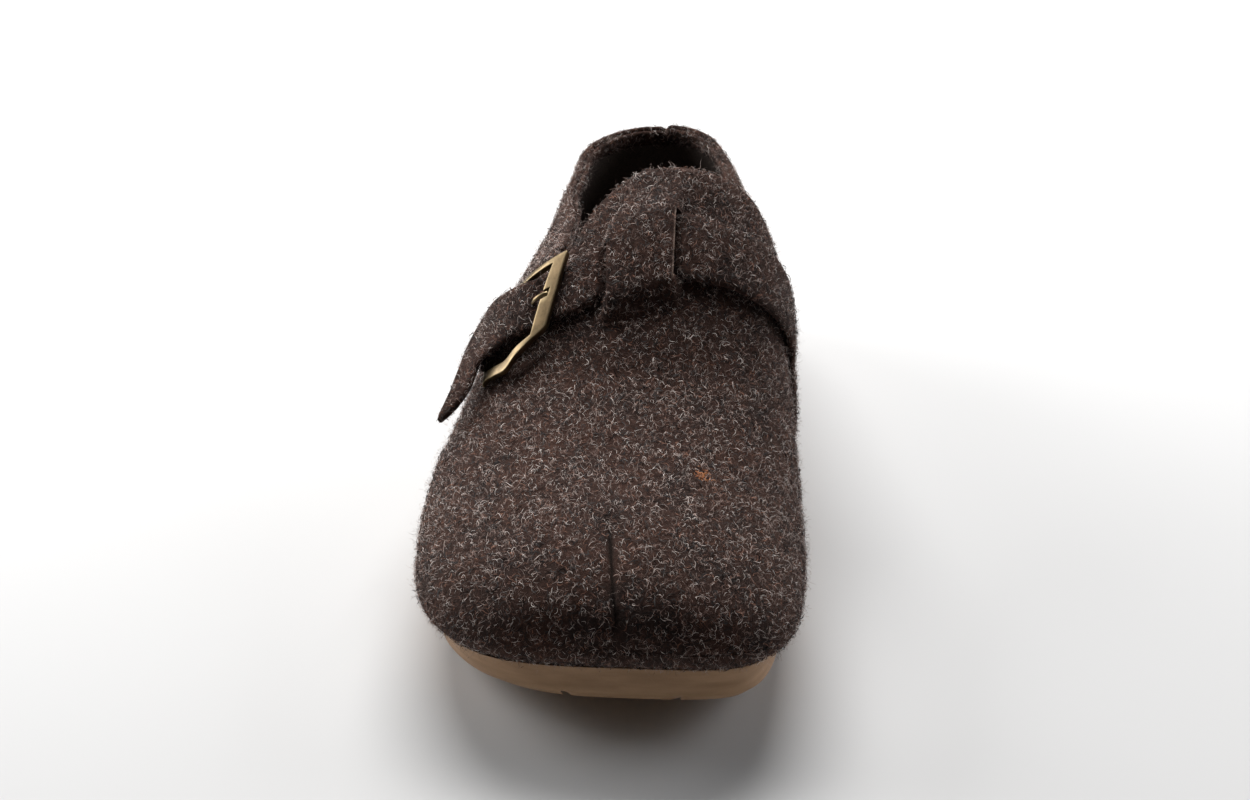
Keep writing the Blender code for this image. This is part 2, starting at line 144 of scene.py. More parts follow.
bpy.context.scene.world = surround
bpy.context.scene.view_settings.view_transform = "Standard"

# Outsole: one slab of tan rubber, moulded with cross lugs, hollowed at the arch and sprung at the toe.
# It is glued straight to the felt, with no welt. Its outline is the last's own, a few millimetres in.
LENGTH = 274.0
HEEL_AT, WAIST_AT, BALL_AT = 0.16, 0.40, 0.66
OUTER = {"heel": 36.2, "waist": 49.4, "ball": 63.6, "toe": 3.4}
INNER = {"heel": 36.8, "waist": 46.6, "ball": 51.6, "toe": 4.7}
HEEL_ROUND = 2.1
FOOT_Z, BULGE_Z, TUCK = 14.6, 21.7, 6.5
SECTION_RISE, SECTION_WIDTH = 2.13, 2.21
RIDGE_INWARD, HEEL_LEAN = 10.7, 7.6
COLLAR_INWARD = (0.20, 0.11)
TOE_SPRING, SPRING_FROM = 10.8, 55.0
DOME_FROM, DOME_ROUND = 0.83, 2.4
SLIT_LEAN = -0.0018
RIDGE = ((0.00, 108.0), (0.30, 108.4), (0.40, 107.5), (0.50, 93.4), (0.66, 62.8), (0.84, 51.2), (1.00, 45.2))


def through(at, table):
    """Smooth curve through the rows of a table, with no overshoot between them."""
    x, v = np.array(table, float).T
    h = np.diff(x)
    d = np.diff(v) / h
    m = np.concatenate([d[:1], np.zeros(len(d) - 1), d[-1:]])
    for i in range(1, len(d)):
        if d[i - 1] * d[i] > 0:
            a, b = 2 * h[i] + h[i - 1], h[i] + 2 * h[i - 1]
            m[i] = (a + b) / (a / d[i - 1] + b / d[i])
    at = np.clip(at, x[0], x[-1])
    i = np.clip(np.searchsorted(x, at, side="right") - 1, 0, len(h) - 1)
    t = (at - x[i]) / h[i]
    return ((1 + 2 * t) * (1 - t) ** 2 * v[i] + t * (1 - t) ** 2 * h[i] * m[i]
            + t * t * (3 - 2 * t) * v[i + 1] + t * t * (t - 1) * h[i] * m[i + 1])


def ease(t):
    """Smooth step from 0 to 1."""
    t = np.clip(t, 0, 1)
    return t * t * (3 - 2 * t)


def rounded(t, n):
    """Falls from 1 to 0 like the quarter of a rounded outline."""
    return np.clip(1 - np.clip(t, 0, 1) ** n, 0, 1) ** (1 / n)


def half_width(s, side):
    """Half width of the last at its widest level, at a station from the heel."""
    def one(sizes):
        """The same for one side of the foot."""
        base = through(s, ((HEEL_AT, sizes["heel"]), (WAIST_AT, sizes["waist"]), (BALL_AT, sizes["ball"])))
        heel_end = rounded((HEEL_AT - s) / HEEL_AT, HEEL_ROUND)
        return base * heel_end * rounded((s - BALL_AT) / (1 - BALL_AT), sizes["toe"])
    return np.where(side < 0, one(OUTER), one(INNER))


def ridge(s):
    """Height of the top line of the last at a station from the heel."""
    ramp = through(s, RIDGE)
    return BULGE_Z + (ramp - BULGE_Z) * rounded((s - DOME_FROM) / (1 - DOME_FROM), DOME_ROUND)


FRONT_S = np.linspace(1, 0.34, 900)
FRONT_Z = np.maximum.accumulate(ridge(FRONT_S) + 1e-6 * np.arange(900))


def toe_spring(y):
    """How far the toe is lifted off the floor."""
    return TOE_SPRING * np.clip((-y - SPRING_FROM) / (LENGTH / 2 - SPRING_FROM), 0, 1) ** 2


def last_rows(k, z):
    """Outer felt at columns round the shoe (0 heel, 1 ridge, 2 heel again) and heights before toe spring.

    Each ease is one change of shape: the share or height where it starts, and the length it takes.
    """
    k = k % 2
    slant = ease((k - 0.80) / 0.085) * ease((0.995 - k) / 0.06) * np.clip(z - 78, -2, 10)
    k = k + SLIT_LEAN * slant * ease((100 - z) / 8)
    side = np.where(k <= 1, -1.0, 1.0)[:, None]
    share = np.where(k <= 1, k, 2 - k)
    u = 1 - (1 - np.linspace(0, 1, 161)) ** 2
    level = np.maximum(z, BULGE_Z)[:, None]
    s = np.interp(level, FRONT_Z, FRONT_S) * (1 - np.cos(np.pi * u)) / 2
    rise = np.clip((level - BULGE_Z) / (ridge(s) - BULGE_Z + 1e-9), 0, 1)
    x = side * half_width(s, side) * np.clip(1 - rise ** SECTION_RISE, 0, 1) ** (1 / SECTION_WIDTH)
    outer = COLLAR_INWARD[0] * ease((s - 0.22) / 0.12) * ease((0.48 - s) / 0.08)
    inner = COLLAR_INWARD[1] * ease((s - 0.02) / 0.10) * ease((0.38 - s) / 0.14)
    x = x * (1 - np.where(side < 0, outer, inner) * ease((level - 58) / 22))
    y = LENGTH * (0.5 - s)
    tx, ty = np.gradient(x, axis=1), np.gradient(y, axis=1)
    n = np.hypot(tx, ty) + 1e-12
    ox, oy = -side * ty / n, side * tx / n
    ox[:, 0], oy[:, 0], ox[:, -1], oy[:, -1] = 0, 1, 0, -1
    inset = TUCK * np.clip((BULGE_Z - z) / (BULGE_Z - FOOT_Z), 0, 2)[:, None] ** 2
    x, y = x - inset * ox, y - inset * oy
    run = np.cumsum(np.hypot(np.diff(x), np.diff(y)), axis=1)
    run = np.concatenate([np.zeros((len(z), 1)), run], axis=1)
    run /= run[:, -1:]
    i = np.clip((run < share[:, None]).sum(axis=1) - 1, 0, u.size - 2)
    row = np.arange(len(z))
    t = (share - run[row, i]) / (run[row, i + 1] - run[row, i] + 1e-12)
    x, y, s, rise = (a[row, i] * (1 - t) + a[row, i + 1] * t for a in (x, y, s, rise))
    x = x + RIDGE_INWARD * rise ** 2 * ease((0.98 - s) / 0.45) * ease((s - 0.02) / 0.3)
    y = y - HEEL_LEAN * np.clip((z - BULGE_Z) / 55, 0, 1.4) ** 1.6 * (1 - ease(s / 0.25))
    return np.stack([x, y, z + toe_spring(y)], -1)


def last_point(k, z):
    """The same for columns and heights of any shape, a few thousand points at a time."""
    k, z = np.broadcast_arrays(np.asarray(k, float), np.asarray(z, float))
    flat_k, flat_z = k.ravel(), z.ravel()
    parts = [last_rows(flat_k[i:i + 4000], flat_z[i:i + 4000]) for i in range(0, flat_k.size, 4000)]
    return np.concatenate(parts).reshape(k.shape + (3,))


# The frame's origin is the middle of the whole box, the last's is on its own centre line.
WIDEST = last_point(np.linspace(0, 1, 400), BULGE_Z)[:, 0].min()
ASIDE = np.array((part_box("upper")[0].x / MM - WIDEST, 0.0, 0.0))


def cells(points, present):
    """Faces of a block of corner points, wherever a filled cell meets an empty one."""
    na, nb, nc = present.shape
    number = np.arange((na + 1) * (nb + 1) * (nc + 1)).reshape(na + 1, nb + 1, nc + 1)
    filled = np.pad(present, 1)
    faces = []
    for axis in range(3):
        ahead = np.roll(filled, -1, axis)
        for first, second, turn in ((filled, ahead, False), (ahead, filled, True)):
            for a, b, c in np.argwhere(first & ~second):
                at = [a - 1, b - 1, c - 1]
                at[axis] += 1
                one, two = [(1, 2), (2, 0), (0, 1)][axis]
                ring = []
                for p, q in ((0, 0), (1, 0), (1, 1), (0, 1)):
                    corner = list(at)
                    corner[one] += p
                    corner[two] += q
                    ring.append(int(number[tuple(corner)]))
                faces.append(ring[::-1] if turn else ring)
    used = np.unique(np.concatenate(faces))
    lookup = np.zeros(number.size, int)
    lookup[used] = np.arange(used.size)
    return points.reshape(-1, 3)[used], [[int(lookup[i]) for i in ring] for ring in faces]


def face_out(piece):
    """Turns a closed mesh so that its faces look outwards."""
    mesh = piece.data
    mesh.calc_loop_triangles()
    points = np.array([v.co for v in mesh.vertices])
    tri = np.array([t.vertices for t in mesh.loop_triangles])
    volume = np.einsum("ij,ij->i", points[tri[:, 0]], np.cross(points[tri[:, 1]], points[tri[:, 2]])).sum()
    if volume < 0:
        mesh.flip_normals()


def soften(piece, width, steps=3, angle=0.6):
    """Rounds the sharp edges of a piece by a small radius."""
    bevel = piece.modifiers.new("rounded_edges", "BEVEL")
    bevel.width = width * MM
    bevel.segments = steps
    bevel.limit_method = "ANGLE"
    bevel.angle_limit = angle
    bevel.harden_normals = False


def plan_level(inset, corner=0.0):
    """Outline of the last at one inset from its widest level, drawn in more at the toe's corners."""
    def level(k):
        """Points of this outline at columns round the shoe."""
        outer_cut = CORNER_IN[0] * np.exp(-((k - CORNER_AT[0]) / CORNER_RUN) ** 2)
        inner_cut = CORNER_IN[1] * np.exp(-((k - CORNER_AT[1]) / CORNER_RUN) ** 2)
        cut = outer_cut + inner_cut
        return last_point(k, BULGE_Z - (BULGE_Z - FOOT_Z) * ((inset + corner * cut) / TUCK) ** 0.5)
    return level


def plan_grid(stations, across, level):
    """Outline at one level as rungs across the shoe. The end rungs follow the round heel and toe."""
    stations, across = np.array(stations), np.array(across)
    left, right = level(stations), level(2 - stations)
    t = (across + 1) / 2
    grid = left[:, None] + (right - left)[:, None] * t[None, :, None]
    grid[0] = level(-across * stations[0])
    grid[-1] = level(1 + across * (1 - stations[-1]))
    return grid


def between(values, parts):
    """Each step of a list of values cut into equal parts."""
    fine = [np.linspace(a, b, parts, endpoint=False) for a, b in zip(values[:-1], values[1:])]
    return np.concatenate(fine + [np.array(values[-1:])])


SOLE_TOP, TREAD = 14.3, 3.2
CORNER_IN, CORNER_AT, CORNER_RUN = (5.5, 1.5), (0.855, 1.145), 0.07
ARCH_RISE, ARCH_FROM, ARCH_TO = 4.0, -8.0, 52.0
TOE_THIN = 2.6
GROOVES = (0.18, 0.25, 0.32, 0.535, 0.595, 0.655, 0.715, 0.775)
GROOVE, TOE_GROOVE = 0.011, 0.865
stops = [0.05, 0.09, 0.13, 0.38, 0.43, 0.48, 0.805, 0.825, 0.845, TOE_GROOVE, 0.885, 0.905, 0.93]
for g in GROOVES:
    stops += [g, g + GROOVE]
stations = between(sorted(stops), 3)
TOE_SIDE_IN, TOE_SIDE_OUT = 0.66, 0.78
across = between((-1.0, -TOE_SIDE_OUT, -TOE_SIDE_IN, -0.33, 0.0, 0.33, TOE_SIDE_IN, TOE_SIDE_OUT, 1.0), 3)
# Levels of the sole's wall: height, inset from the last and share of the corner cut.
WALL_LEVELS = ((0.0, 8.6, 1.0), (TREAD, 6.0, 0.7), (2 * TREAD, 6.0, 0.4), (10.4, 5.6, 0.2),
               (SOLE_TOP, 5.3, 0.0))
slab = np.zeros((len(stations), len(across), len(WALL_LEVELS), 3))
for c, (z, inset, corner) in enumerate(WALL_LEVELS):
    slab[:, :, c] = plan_grid(stations, across, plan_level(inset, corner))
y = slab[..., 1]
arch = ARCH_RISE * ease((y - ARCH_FROM) / 20) * ease((ARCH_TO - y) / 20)
lift = np.clip((-y - SPRING_FROM) / (LENGTH / 2 - SPRING_FROM), 0, 1) ** 2
for c, (z, inset, corner) in enumerate(WALL_LEVELS):
    share = 1 - z / SOLE_TOP
    slab[:, :, c, 2] = z + lift[:, :, c] * (TOE_SPRING + TOE_THIN * share) + arch[:, :, c] * share
blocks = np.ones((len(stations) - 1, len(across) - 1, len(WALL_LEVELS) - 1), bool)
middle = (stations[:-1] + stations[1:]) / 2
for g in GROOVES:
    blocks[(middle > g) & (middle < g + GROOVE), :, 0] = False
side_middle = (across[:-1] + across[1:]) / 2
beside = (abs(side_middle) > TOE_SIDE_IN) & (abs(side_middle) < TOE_SIDE_OUT)
blocks[np.ix_(middle > TOE_GROOVE, beside, [0])] = False
points, faces = cells(slab + ASIDE, blocks)

# Tan crepe rubber, moulded: matt and slightly waxy, with fine pores and faint flow marks along the wall.
# Low on the wall, where the lugs meet the floor, a paler band of painted bounce light from the floor,
# mottled.
PORE_MM, FLOW_MM, BOUNCE_MOTTLE_MM = 0.9, 14.0, 5.0
rubber, tree, shader = new_material("moulded_tan_rubber")
place = add(tree, "ShaderNodeTexCoord")
pores = add(tree, "ShaderNodeTexNoise", {"Vector": place.outputs["Object"], "Scale": 1 / (PORE_MM * MM),
                                         "Detail": 4.0, "Roughness": 0.6})
stretch = add(tree, "ShaderNodeMapping", {"Vector": place.outputs["Object"], "Scale": (1.0, 1.0, 5.0)})
flow = add(tree, "ShaderNodeTexNoise", {"Vector": stretch.outputs["Vector"], "Scale": 1 / (FLOW_MM * MM),
                                        "Detail": 5.0, "Roughness": 0.55})
tan = add(tree, "ShaderNodeValToRGB", {"Fac": flow.outputs["Fac"]})
tan.color_ramp.elements[0].position = 0.3
tan.color_ramp.elements[0].color = linear("#977759")
tan.color_ramp.elements[1].position = 0.72
tan.color_ramp.elements[1].color = linear("#b18e6e")
# Painted light bounced up from the floor: a paler tan low on the wall, mottled by this noise.
bounce_mottle = add(tree, "ShaderNodeTexNoise", {"Vector": place.outputs["Object"], "Scale": 1 / (BOUNCE_MOTTLE_MM * MM),
                                         "Detail": 6.0, "Roughness": 0.7})
painted_bounce_band = add(tree, "ShaderNodeAttribute", attribute_name="painted_bounce_band")
bounce_pale = add(tree, "ShaderNodeMath", {0: painted_bounce_band.outputs["Fac"], 1: bounce_mottle.outputs["Fac"]}, operation="MULTIPLY")
wear_and_bounce_light = add(tree, "ShaderNodeMix", {0: bounce_pale.outputs[0], 6: tan.outputs["Color"], 7: linear("#c9a683")},
           data_type="RGBA")
tree.links.new(wear_and_bounce_light.outputs[2], shader.inputs["Base Color"])
rough = add(tree, "ShaderNodeMapRange", {"Value": pores.outputs["Fac"], "To Min": 0.52, "To Max": 0.72})
tree.links.new(rough.outputs["Result"], shader.inputs["Roughness"])
dimple = add(tree, "ShaderNodeBump", {"Height": pores.outputs["Fac"], "Strength": 0.35, "Distance": 0.00025})
tree.links.new(dimple.outputs["Normal"], shader.inputs["Normal"])
shader.inputs["Specular IOR Level"].default_value = 0.35

sole = new_piece("sole_rubber", points, faces, rubber)
# Mask of the painted bounce light: the lowest few millimetres of the wall, lifted with the toe spring.
BOUNCE_BAND_TALL, BOUNCE_BAND_SPRING = 3.6, 14.0
spring = np.clip((-points[:, 1] - SPRING_FROM) / (LENGTH / 2 - SPRING_FROM), 0, 1) ** 2
low = np.clip(1 - (points[:, 2] - BOUNCE_BAND_SPRING * spring) / BOUNCE_BAND_TALL, 0, 1)
sole.data.attributes.new("painted_bounce_band", "FLOAT", "POINT").data.foreach_set("value", low)
face_out(sole)
soften(sole, 0.7)
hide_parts("outsole")
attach(sole, "root")

# Footbed: a moulded insole with a heel cup, its top covered in dark felt. It is pressed into the upper
# on the sole and shows only through the collar.
# Its levels are given as height and inset from the last.
FOOTBED = ((14.6, 9.1), (17.4, 8.8), (20.3, 5.2), (23.0, 3.9))
BED_FROM, BED_TO = 0.05, 0.94
CUP_DEEP, BED_DISH, ARCH_FILL = 4.0, 2.0, 3.0
stations = np.linspace(BED_FROM, BED_TO, 70)
across = np.linspace(-1, 1, 31)
bed = np.stack([plan_grid(stations, across, plan_level(inset)) for z, inset in FOOTBED], 2)
for c, (z, inset) in enumerate(FOOTBED):
    bed[:, :, c, 2] = z + toe_spring(bed[:, :, c, 1])
y = bed[:, :, -1, 1]
cup = CUP_DEEP * ease((y - 20) / 50) + BED_DISH
cup = cup - ARCH_FILL * np.exp(-((y - 22) / 34) ** 2) * across[None, :].clip(0)
ends = ease((stations - BED_FROM) / 0.06) * ease((BED_TO - stations) / 0.04)
bed[:, :, -1, 2] -= cup * np.sqrt(1 - across[None, :] ** 2) * ends[:, None]
points, faces = cells(bed + ASIDE, np.ones(np.array(bed.shape[:3]) - 1, bool))

# Grey-brown lining felt, pressed flat by the foot: even and dull, almost black in the shade of the shoe.
# Its short fibres are too fine to show and are drawn about three times as coarse as they are.
LINT_MM = 0.5
lining, tree, shader = new_material("pressed_lining_felt")
place = add(tree, "ShaderNodeTexCoord")
lint = add(tree, "ShaderNodeTexNoise", {"Vector": place.outputs["Object"], "Scale": 1 / (LINT_MM * MM),
                                        "Detail": 5.0, "Roughness": 0.7, "Distortion": 1.5})
brown = add(tree, "ShaderNodeValToRGB", {"Fac": lint.outputs["Fac"]})
brown.color_ramp.elements[0].position = 0.35
brown.color_ramp.elements[0].color = linear("#403835")
brown.color_ramp.elements[1].position = 0.72
brown.color_ramp.elements[1].color = linear("#70665f")
tree.links.new(brown.outputs["Color"], shader.inputs["Base Color"])
nap = add(tree, "ShaderNodeBump", {"Height": lint.outputs["Fac"], "Strength": 0.6, "Distance": 0.0003})
tree.links.new(nap.outputs["Normal"], shader.inputs["Normal"])
shader.inputs["Roughness"].default_value = 0.95
shader.inputs["Specular IOR Level"].default_value = 0.1

insole = new_piece("insole_felt", points, faces, lining)
face_out(insole)
soften(insole, 0.8)
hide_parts("footbed")
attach(insole, "root")

# Upper: thick wool felt, blocked over the last into one hollow shell and turned in under the sole edge.
# The collar is doubled with a felt binding, the tongue is a single cut edge. Two slits let the strap pass
# under a raised strip, and a short dart is pinched into the toe cap.
WALL = 2.8
RIM_START, RIM_DEPTH = 2.0, 8.4
SLITS = ((0.886, 0.903), (0.998, 1.016))
STRIP_RISE, STRIP_RUN = 4.0, 7.0
TOPLINE = ((0.00, 77.2), (0.20, 76.8), (0.40, 75.5), (0.55, 76.0), (0.68, 79.0), (0.76, 82.0), (0.803, 84.0),
           (0.812, 91.5), (0.830, 97.2), (0.860, 101.5), (0.920, 105.2), (1.000, 106.3), (1.060, 105.6),
           (1.116, 103.4), (1.180, 99.2), (1.238, 94.0), (1.290, 86.6), (1.310, 80.5), (1.400, 77.5),
           (1.600, 75.5), (1.800, 77.0), (1.920, 78.8), (1.970, 78.4), (2.00, 77.2))
# Rows of the strap: run along it, column and height of the front edge and of the rear edge, and how high
# its lower face lies over the felt.
OVER, UNDER = 0.6, -2.0
STRAP = ((0.0, 1.485, 26.0, 1.590, 26.0, OVER), (8.5, 1.478, 34.0, 1.580, 35.0, OVER),
         (17.0, 1.452, 42.0, 1.548, 43.5, OVER), (25.0, 1.402, 49.0, 1.478, 52.5, OVER),
         (33.0, 1.330, 55.2, 1.380, 61.5, 1.0), (41.0, 1.257, 61.4, 1.312, 70.0, 1.8),
         (50.0, 1.196, 68.8, 1.254, 77.6, 2.2), (60.0, 1.149, 74.6, 1.190, 86.0, 1.8),
         (70.0, 1.098, 79.6, 1.086, 93.4, 1.0), (80.0, 1.045, 82.2, 1.040, 95.6, OVER),
         (86.4, 1.016, 83.0, 1.016, 96.4, OVER), (90.0, 0.998, 83.8, 0.998, 96.6, UNDER),
         (100.0, 0.952, 81.8, 0.952, 93.0, UNDER), (110.0, 0.903, 78.4, 0.903, 88.4, UNDER),
         (113.6, 0.886, 77.0, 0.886, 87.2, OVER), (119.0, 0.862, 73.6, 0.860, 84.8, OVER),
         (129.0, 0.819, 68.6, 0.818, 80.0, OVER), (132.0, 0.807, 66.7, 0.804, 78.0, 1.0),
         (136.0, 0.790, 64.2, 0.785, 75.3, 3.2), (143.0, 0.762, 60.0, 0.752, 70.6, 5.0),
         (150.0, 0.726, 56.4, 0.717, 66.0, 5.3), (157.2, 0.692, 52.8, 0.684, 61.4, 4.9),
         (168.0, 0.658, 44.8, 0.648, 54.2, 5.9), (179.0, 0.641, 38.6, 0.627, 47.8, 7.2))
# Columns of the mesh round the shoe: from, to and how many, closer where the felt bends.
COLUMNS = ((0.0, 0.78, 64), (0.78, 0.84, 16), (0.84, 0.886, 12), (0.886, 0.903, 6), (0.903, 0.975, 24),
           (0.975, 0.998, 16), (0.998, 1.016, 14), (1.016, 1.10, 26), (1.10, 1.27, 40), (1.27, 1.33, 18),
           (1.33, 1.96, 56), (1.96, 2.0, 20))
ks = np.concatenate([np.linspace(a, b, n, endpoint=False) for a, b, n in COLUMNS])
# Nick in the collar beside the middle of the heel.
NOTCH_K, NOTCH_DEEP, NOTCH_HALF_K = 1.983, 1.7, 0.010
top = through(ks, TOPLINE) - NOTCH_DEEP * np.clip(1 - abs(ks - NOTCH_K) / NOTCH_HALF_K, 0, 1)
# The rows of the mesh follow the strap's edges where it crosses the instep, so the slits fit it closely.
SLIT_FRONT, SLIT_REAR, SLIT_UNDER_TOP = 0.4, 0.2, 3.5
over_strip = np.array(STRAP)[16:8:-1]
beside_strip = np.clip(ks, 0.83, 1.10)
front = through(beside_strip, over_strip[:, (1, 2)])
rear = through(beside_strip, over_strip[:, (1, 4)])
near = ease((ks - 0.70) / 0.12) * ease((1.22 - ks) / 0.10)
low = (1 - near) * (FOOT_Z + 0.76 * (top - FOOT_Z)) + near * (front - SLIT_FRONT)
slit_top = np.minimum(rear + SLIT_REAR, top - SLIT_UNDER_TOP)
high = (1 - near) * (FOOT_Z + 0.88 * (top - FOOT_Z)) + near * slit_top
CAP_LOW, CAP_TOP = 43.0, 50.5


def wall_levels(toe_rows, vamp_shares, slit_rows, end_rows, end):
    """Heights of the rows of one face of the wall, for every column."""
    rows = [np.full(len(ks), z) for z in toe_rows]
    rows += [CAP_TOP + (low - CAP_TOP) * t for t in vamp_shares]
    rows += [low + (high - low) * t for t in np.linspace(0, 1, slit_rows, endpoint=False)]
    rows += [high + (end - high) * t for t in np.linspace(0, 1, end_rows)]
    return np.stack(rows, 1)


def surface(levels):
    """Points and outward normals of the last at every column and row."""
    points = last_point(ks[:, None], levels)
    n = np.cross(np.roll(points, -1, 0) - np.roll(points, 1, 0), np.gradient(points, axis=1))
    return points, n / (np.linalg.norm(n, axis=-1, keepdims=True) + 1e-12)


def strip_rise(levels):
    """How far the strip between the slits stands off the last to let the strap pass under."""
    along = ease((ks - SLITS[0][0]) / 0.017) * ease((SLITS[1][1] - ks) / 0.018)
    reach = np.clip(np.maximum(low[:, None] - levels, levels - high[:, None]), 0, None)
    room = np.where(levels > high[:, None], (top - high)[:, None] * 0.9, STRIP_RUN)
    return STRIP_RISE * along[:, None] * ease(1 - reach / room)


SLIT_ROWS, VAMP_ROWS, TOP_ROWS = 16, 44, 12
INNER_TOE_ROWS, INNER_VAMP_ROWS, INNER_TOP_ROWS = 16, 14, 5
toe_rows = np.concatenate([np.linspace(FOOT_Z, CAP_LOW, 24, endpoint=False),
                           np.linspace(CAP_LOW, CAP_TOP, 24, endpoint=False)])
vamp_shares = (np.arange(VAMP_ROWS) / VAMP_ROWS) ** 1.5
outside = wall_levels(toe_rows, vamp_shares, SLIT_ROWS, TOP_ROWS, top - RIM_START)
outer_low = len(toe_rows) + VAMP_ROWS
inner_top = np.maximum(top - RIM_DEPTH, high + 0.4)
toe_rows = np.linspace(FOOT_Z, CAP_TOP, INNER_TOE_ROWS, endpoint=False)
vamp_shares = (np.arange(INNER_VAMP_ROWS) / INNER_VAMP_ROWS) ** 1.3
inside = wall_levels(toe_rows, vamp_shares, SLIT_ROWS, INNER_TOP_ROWS, inner_top)
inner_low = INNER_TOE_ROWS + INNER_VAMP_ROWS
# Dart: angle round the toe cap as seen from the inner side, and how far from the centre line it runs there.
DART = ((8.0, 6.0), (16.7, 5.4), (21.7, 4.8), (26.7, 3.9), (33.3, 3.1), (41.2, 2.3), (51.8, 1.3),
        (62.0, 0.8))
DART_DEEP, DART_HALF, PINCH_DEEP, PINCH_HALF = 1.4, 0.6, 0.7, 3.2
DART_Y, DART_Z, DART_FRONT = -80, 20, -85
DART_FROM, DART_TO = 4, 62


def dart_share(points):
    """Sharp middle and soft flanks of the dart at points of the frame, each from 0 to 1."""
    angle = np.degrees(np.arctan2(points[..., 2] - DART_Z, DART_Y - points[..., 1]))
    aside = points[..., 0] - through(angle, DART)
    along = ease((DART_TO - angle) / 16) * ease((angle - DART_FROM) / 14) * (points[..., 1] < DART_FRONT)
    return along * np.exp(-(aside / DART_HALF) ** 2), along * np.exp(-(aside / PINCH_HALF) ** 2)


# Wide, shallow unevenness of blocked felt: wavelength and depth in millimetres.
LUMPS = ((46.0, 0.55), (17.0, 0.28), (5.5, 0.12))


def lumps(points):
    """Small rise and fall of the felt at points of the frame."""
    flat = points.reshape(-1, 3)
    rise = np.zeros(len(flat))
    for wave, deep in LUMPS:
        rise += deep * np.array([noise.noise(Vector(p / wave)) for p in flat])
    return rise.reshape(points.shape[:-1])


wall_out, normal_out = surface(outside)
wall_out = wall_out + ASIDE
sharp, soft = dart_share(wall_out)
bump_out = strip_rise(outside) + lumps(wall_out) - DART_DEEP * sharp - PINCH_DEEP * soft
wall_out = wall_out + bump_out[..., None] * normal_out
wall_in, normal_in = surface(inside)
wall_in = wall_in + ASIDE + (strip_rise(inside) - WALL)[..., None] * normal_in
# Section over the top edge: distance in from the outer face and height under the edge. The collar has two
# rolls with a groove between them, the tongue one.
COLLAR_ROLL = ((-0.1, -1.3), (-0.4, -0.6), (-1.0, -0.1), (-1.6, 0.0), (-2.1, -0.35), (-2.4, -1.1),
               (-2.55, -1.5), (-2.75, -1.1), (-3.2, -0.5), (-3.8, -0.4), (-4.4, -0.9), (-4.7, -1.8),
               (-4.75, -3.2), (-4.6, -5.2), (-4.1, -6.6), (-3.2, -7.4))
TONGUE_ROLL = ((0.0, -1.3), (-0.15, -0.7), (-0.5, -0.25), (-1.0, -0.05), (-1.4, 0.0), (-1.8, -0.05),
               (-2.2, -0.2), (-2.5, -0.5), (-2.7, -0.9), (-2.8, -1.5), (-2.8, -2.2), (-2.8, -3.0),
               (-2.8, -4.2), (-2.8, -5.4), (-2.8, -6.5), (-2.8, -7.4))
tongue = ease((ks - 0.795) / 0.02) * ease((1.318 - ks) / 0.02)
tongue = tongue[:, None, None]
roll = np.array(COLLAR_ROLL)[None] * (1 - tongue) + np.array(TONGUE_ROLL)[None] * tongue
drop = roll[..., 1] * ((top - inner_top) / RIM_DEPTH)[:, None] ** (roll[..., 1] < -2)
rim = last_point(ks[:, None], top[:, None] + drop) + ASIDE
rim = rim + (roll[..., 0] + bump_out[:, -1:])[..., None] * normal_out[:, -1:]
shell = np.concatenate([wall_out, rim, wall_in[:, ::-1]], axis=1)
count, rows = shell.shape[:2]
rows_out, rows_rim = wall_out.shape[1], rim.shape[1]
mids = (ks + np.roll(ks, -1)) / 2
mids[-1] = 1.999
in_slit = np.zeros((count, rows), bool)
first_in = rows - 1 - (inner_low + SLIT_ROWS)
for a, b in SLITS:
    cut = (mids > a) & (mids < b)
    in_slit[cut, outer_low:outer_low + SLIT_ROWS] = True
    in_slit[cut, first_in:first_in + SLIT_ROWS] = True


def grid_number(i, j):
    """Number of a point of the shell by its column and row."""
    return int((i % count) * rows + j)


faces, lined = [], []
for i in range(count):
    for j in range(rows):
        if not in_slit[i, j]:
            faces.append((grid_number(i, j), grid_number(i + 1, j), grid_number(i + 1, (j + 1) % rows),
                          grid_number(i, (j + 1) % rows)))
            lined.append(rows_out + rows_rim <= j < rows - 1)
slit_sides = []
for a, b in SLITS:
    cut = np.where((mids > a) & (mids < b))[0]
    for edge in (cut[0], cut[-1] + 1):
        for j in range(SLIT_ROWS):
            up, down = outer_low + j, rows - 1 - (inner_low + j)
            slit_sides.append((grid_number(edge, up), grid_number(edge, up + 1), grid_number(edge, down - 1),
                               grid_number(edge, down)))
    for i in cut:
        for j in (0, SLIT_ROWS):
            up, down = outer_low + j, rows - 1 - (inner_low + j)
            slit_sides.append((grid_number(i, up), grid_number(i + 1, up), grid_number(i + 1, down),
                               grid_number(i, down)))
faces += slit_sides
lined += [False] * len(slit_sides)

# Heathered wool felt, milled from dark, brown and grey fleece: dull, cloudy in colour, with curly fibres
# that catch the light. Shade is painted darker into the crease of the dart, and a highlight is painted paler
# along the lit cut edge of one slit. Its curls and clumps are drawn several times as coarse as real fibres,
# which are about 0.04 mm thick.
CLOUD_MM, CLUMP_MM, CURL_MM = 16.0, 1.5, 0.55
wool, tree, shader = new_material("heathered_wool_felt")
place = add(tree, "ShaderNodeTexCoord")
cloud = add(tree, "ShaderNodeTexNoise", {"Vector": place.outputs["Object"], "Scale": 1 / (CLOUD_MM * MM),
                                         "Detail": 3.0, "Roughness": 0.55})
clump = add(tree, "ShaderNodeTexNoise", {"Vector": place.outputs["Object"], "Scale": 1 / (CLUMP_MM * MM),
                                         "Detail": 5.0, "Roughness": 0.68, "Distortion": 0.6})
curl = add(tree, "ShaderNodeTexNoise", {"Vector": place.outputs["Object"], "Scale": 1 / (CURL_MM * MM),
                                        "Detail": 3.0, "Roughness": 0.6, "Distortion": 2.2})
